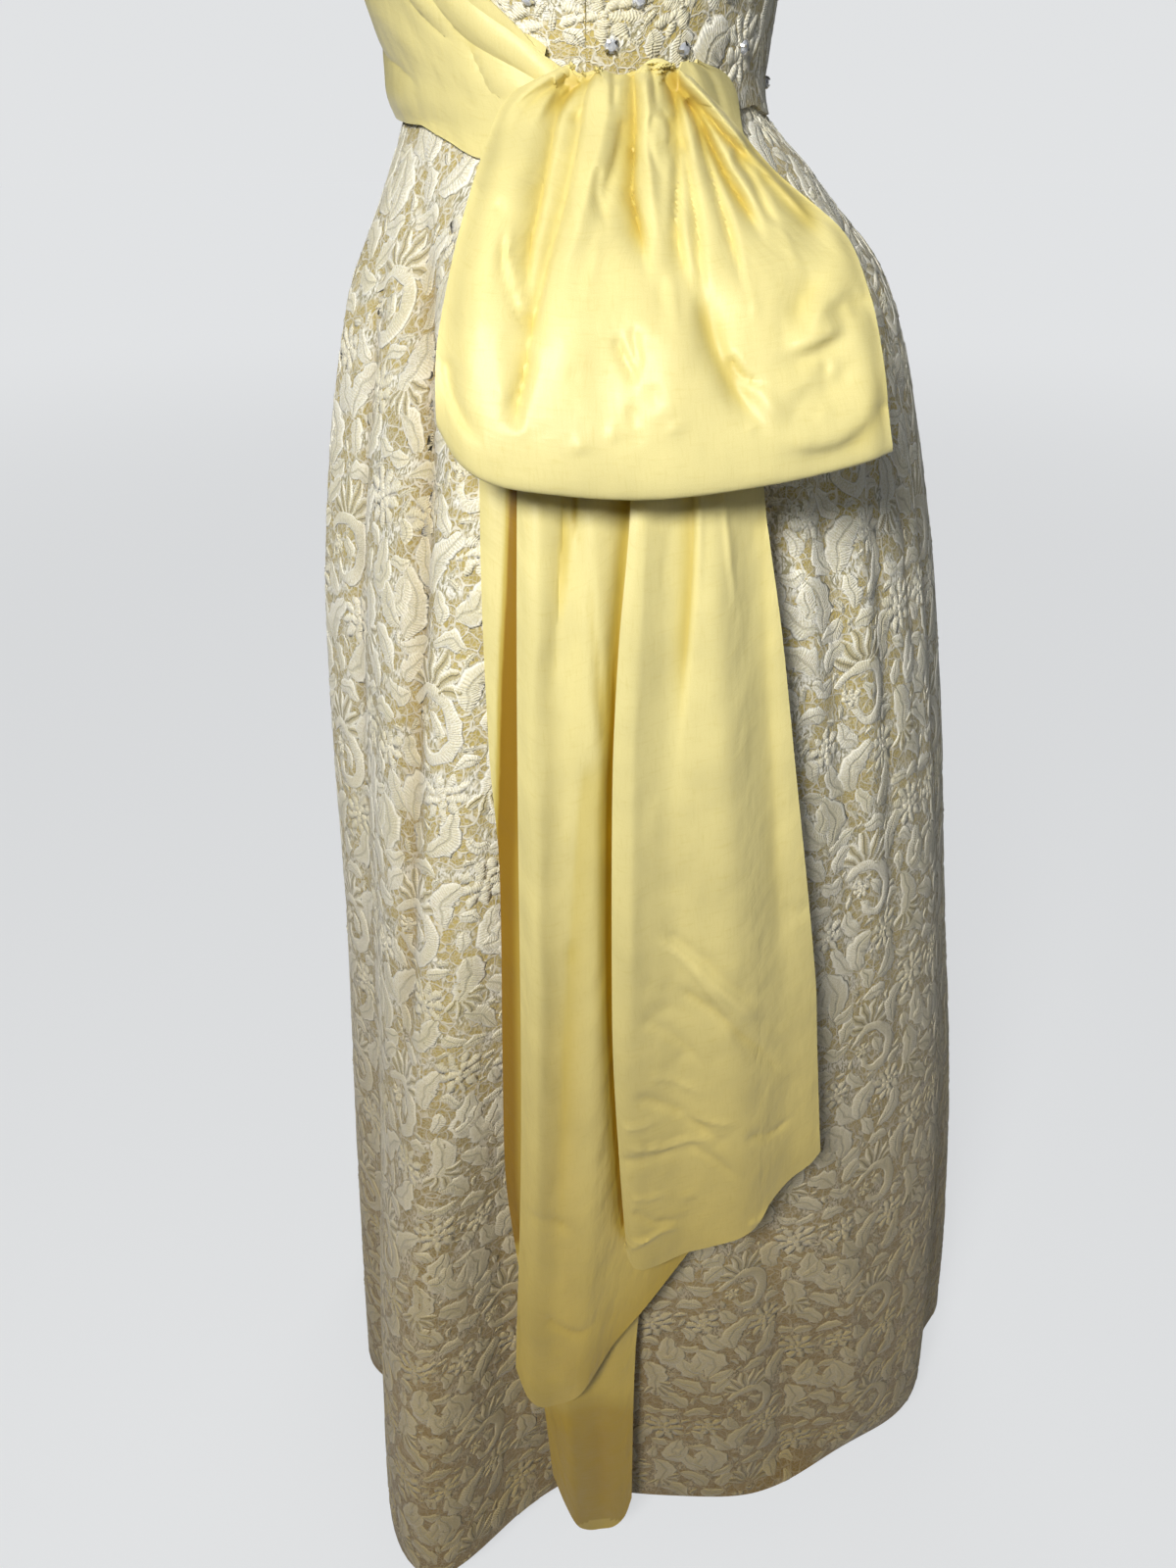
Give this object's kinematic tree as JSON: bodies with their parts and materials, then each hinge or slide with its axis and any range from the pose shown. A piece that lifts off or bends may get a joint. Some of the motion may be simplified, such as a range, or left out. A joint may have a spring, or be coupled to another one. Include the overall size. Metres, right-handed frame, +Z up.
{
  "type": "lace gown",
  "caption": "Floor-length sleeveless gown of floral lace over satin, with a draped satin sash, a large drooping bow loop and hanging streamers at one side.",
  "frame": {"origin": "midway between the neck ends of the two shoulder seams, where the wearer holds the gown up", "axes": "+Z up, -X towards the gown's front, +X towards its back, -Y towards the wearer's left side, which carries the bow"},
  "size_m": [0.5892, 0.5081, 1.4234],
  "materials": {
    "lace": "ivory corded floral lace over satin, matt",
    "satin": "pale yellow satin, soft sheen",
    "underskirt": "dull gold satin, low sheen"
  },
  "bodies": {
    "root": {"bodice_front": "lace", "bodice_back_left": "lace", "bodice_back_right": "lace", "skirt_front": "lace", "skirt_back_left": "lace", "skirt_back_right": "lace", "underskirt_front": "underskirt", "underskirt_back_left": "underskirt", "underskirt_back_right": "underskirt", "sash": "satin", "bow_loop": "satin", "bow_tuck": "satin", "streamer_under": "satin", "streamer_middle": "satin", "streamer_front": "satin"}
  },
  "joints": []
}
